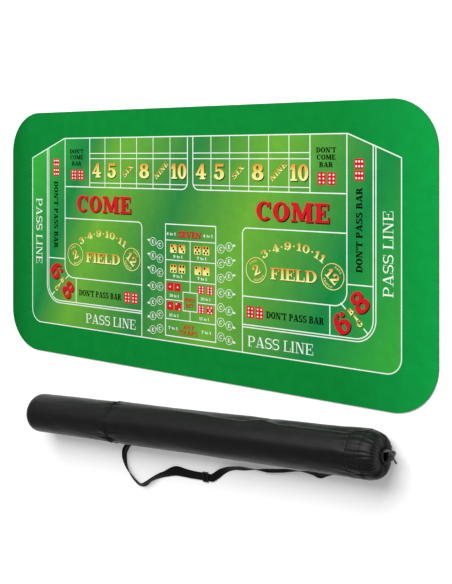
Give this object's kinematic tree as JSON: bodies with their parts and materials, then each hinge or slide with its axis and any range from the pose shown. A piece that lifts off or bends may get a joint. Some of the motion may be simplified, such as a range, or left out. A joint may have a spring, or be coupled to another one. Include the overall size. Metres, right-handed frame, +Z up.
{
  "type": "roll-up craps table top",
  "caption": "Roll-up rubber-backed cloth mat with a craps layout, lying flat beside its round drawstring carry bag with a shoulder strap.",
  "frame": {"origin": "the middle of the mat's underside, on the surface that the mat lies on", "axes": "+X along the mat's long side, +Y towards the row of number boxes, +Z up out of the printed side"},
  "size_m": [1.829, 1.331, 0.1426],
  "materials": {
    "mat_rubber": "matt natural rubber backing",
    "printed_cloth": "smooth printed polyester jersey",
    "bag_polyester": "black woven polyester with a soft sheen",
    "drawcord": "braided cord",
    "moulded_plastic": "moulded black plastic",
    "spring_steel": "bright spring wire",
    "strap_webbing": "ribbed black webbing"
  },
  "bodies": {
    "mat": {"mat_rubber_base": "mat_rubber", "mat_cloth_top": "printed_cloth"},
    "bag": {"bag_foot_disc": "bag_polyester", "bag_foot_sleeve": "bag_polyester", "bag_main_sleeve": "bag_polyester", "bag_mouth_sleeve": "bag_polyester", "bag_mouth_neck": "bag_polyester", "foot_seam_band": "bag_polyester", "mouth_seam_band": "bag_polyester", "mouth_hem": "bag_polyester", "drawcord_ring": "drawcord", "drawcord_upper_strand": "drawcord", "drawcord_lower_strand": "drawcord", "drawcord_knot": "drawcord", "foot_anchor_tab": "strap_webbing", "mouth_anchor_tab": "strap_webbing"},
    "strap": {"strap_run": "strap_webbing", "strap_return": "strap_webbing", "foot_ring": "moulded_plastic"},
    "slider": {"slider_frame": "moulded_plastic", "strap_tail_wrap": "strap_webbing"},
    "cord_lock": {"cord_lock_barrel": "moulded_plastic", "cord_lock_spring": "spring_steel"},
    "lock_button": {"cord_lock_plunger": "moulded_plastic"}
  },
  "joints": [
    {"name": "bag_lift", "type": "slide", "parent": "mat", "child": "bag", "axis": [0, 0, 1], "range_m": [0, 0.4]},
    {"name": "strap_swing", "type": "hinge", "parent": "bag", "child": "strap", "pos_m": [0.1689, -0.6823, 0.0194], "axis": [-0.9975, -0.0711, 0], "range_deg": [0, 75], "deforming": ["foot_anchor_tab", "mouth_anchor_tab"]},
    {"name": "slider_slide", "type": "slide", "parent": "strap", "child": "slider", "axis": [0.9975, 0.0711, 0], "range_m": [-0.045, 0.003], "deforming": ["strap_return"]},
    {"name": "lock_slide", "type": "slide", "parent": "bag", "child": "cord_lock", "axis": [0.0569, -0.798, -0.6], "range_m": [-0.008, 0.016]},
    {"name": "button_press", "type": "slide", "parent": "cord_lock", "child": "lock_button", "axis": [-0.0427, 0.5985, -0.8], "range_m": [0, 0.0044], "stiffness_N_per_m": 600, "springref_m": -0.003, "deforming": ["cord_lock_spring"]}
  ]
}
